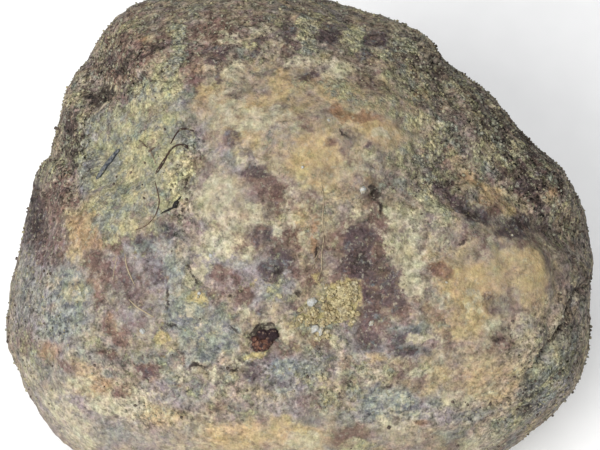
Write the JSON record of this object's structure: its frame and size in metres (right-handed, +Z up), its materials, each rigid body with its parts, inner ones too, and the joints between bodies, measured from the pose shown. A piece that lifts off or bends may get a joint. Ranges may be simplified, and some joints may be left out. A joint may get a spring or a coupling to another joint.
{
  "type": "white truffle",
  "caption": "Whole fresh white truffle: a lobed, potato-shaped underground fungus with dusty ochre and plum skin, soil and rootlets, resting on a small flat spot",
  "frame": {"origin": "centre of the bounding box in plan, on the plane of the flat spot that it rests on", "axes": "+Z up, +X across the truffle along its longest way, -Y towards the front, where the face with the soil and rootlets looks out and up"},
  "size_m": [0.0552, 0.0478, 0.0446],
  "materials": {
    "truffle_skin": "matt, finely granular skin: cream, ochre and plum, mottled under a thin olive-yellow dust of soil",
    "red_soil": "matt reddish-brown clod",
    "yellow_soil": "matt, caked from coarse yellow grains",
    "sand": "pale, slightly glassy quartz",
    "bark": "dark blue-grey, dull, fibrous",
    "twig": "near-black, dull",
    "rootlet": "dark reddish-brown, dull",
    "pale_rootlet": "straw-coloured, dull"
  },
  "bodies": {
    "root": {"truffle": "truffle_skin", "soil_crumb": "red_soil", "soil_crust": "yellow_soil", "sand_grain_upper": "sand", "sand_grain_lower": "sand", "bark_splinter": "bark", "twig_fragment": "twig", "rootlet_dark": "rootlet", "rootlet_looped": "rootlet", "rootlet_brown": "rootlet", "rootlet_pale": "pale_rootlet"}
  },
  "joints": []
}
